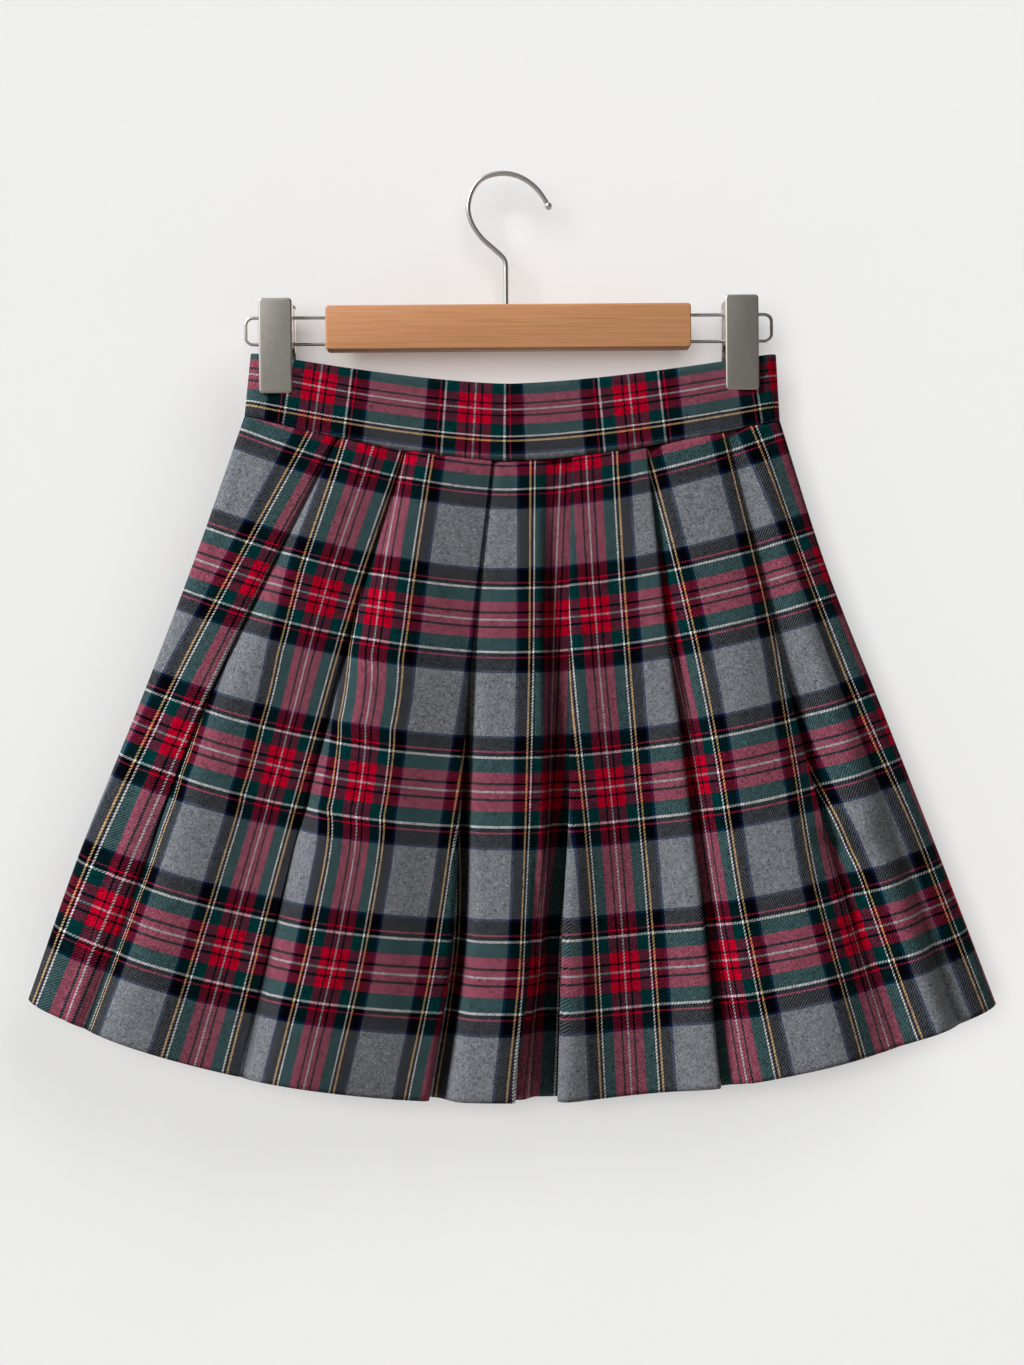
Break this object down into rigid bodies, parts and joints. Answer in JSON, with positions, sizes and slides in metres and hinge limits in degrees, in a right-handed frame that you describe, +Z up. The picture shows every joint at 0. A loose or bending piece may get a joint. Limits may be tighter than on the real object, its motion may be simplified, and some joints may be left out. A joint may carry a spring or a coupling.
{
  "type": "pleated tartan skirt on a clip hanger",
  "caption": "Short flared skirt of tartan flannel in unpressed pleats under a shaped waistband, held by its band in the clips of a wooden hanger with a wire hook.",
  "frame": {"origin": "the inner top of the hook, where the hanger hangs from a peg or rod", "axes": "+Z up, +X to the right of someone looking at the skirt's front, -Y out of the front of the skirt"},
  "size_m": [0.628, 0.0698, 0.5987],
  "materials": {
    "tartan_flannel": "brushed 2/2 twill flannel woven in a red, green, navy and grey tartan with white and yellow lines",
    "tartan_band": "the same tartan flannel turned a quarter turn, doubled",
    "beech": "steamed beech, satin lacquer",
    "nickel_wire": "satin nickel plated wire",
    "clip_plate": "satin nickel plated pressed steel",
    "pad_rubber": "matt grey grip pad"
  },
  "bodies": {
    "root": {"skirt_front": "tartan_flannel", "skirt_back": "tartan_flannel", "waistband_front": "tartan_band", "waistband_back": "tartan_band", "hanger_bar": "beech", "hanger_hook": "nickel_wire", "hook_tip": "nickel_wire", "rail_left": "nickel_wire", "rail_right": "nickel_wire", "clip_left_front": "clip_plate", "clip_left_back": "clip_plate", "clip_left_spring": "nickel_wire", "clip_left_pad_front": "pad_rubber", "clip_left_pad_back": "pad_rubber", "clip_right_front": "clip_plate", "clip_right_back": "clip_plate", "clip_right_spring": "nickel_wire", "clip_right_pad_front": "pad_rubber", "clip_right_pad_back": "pad_rubber"}
  },
  "joints": []
}
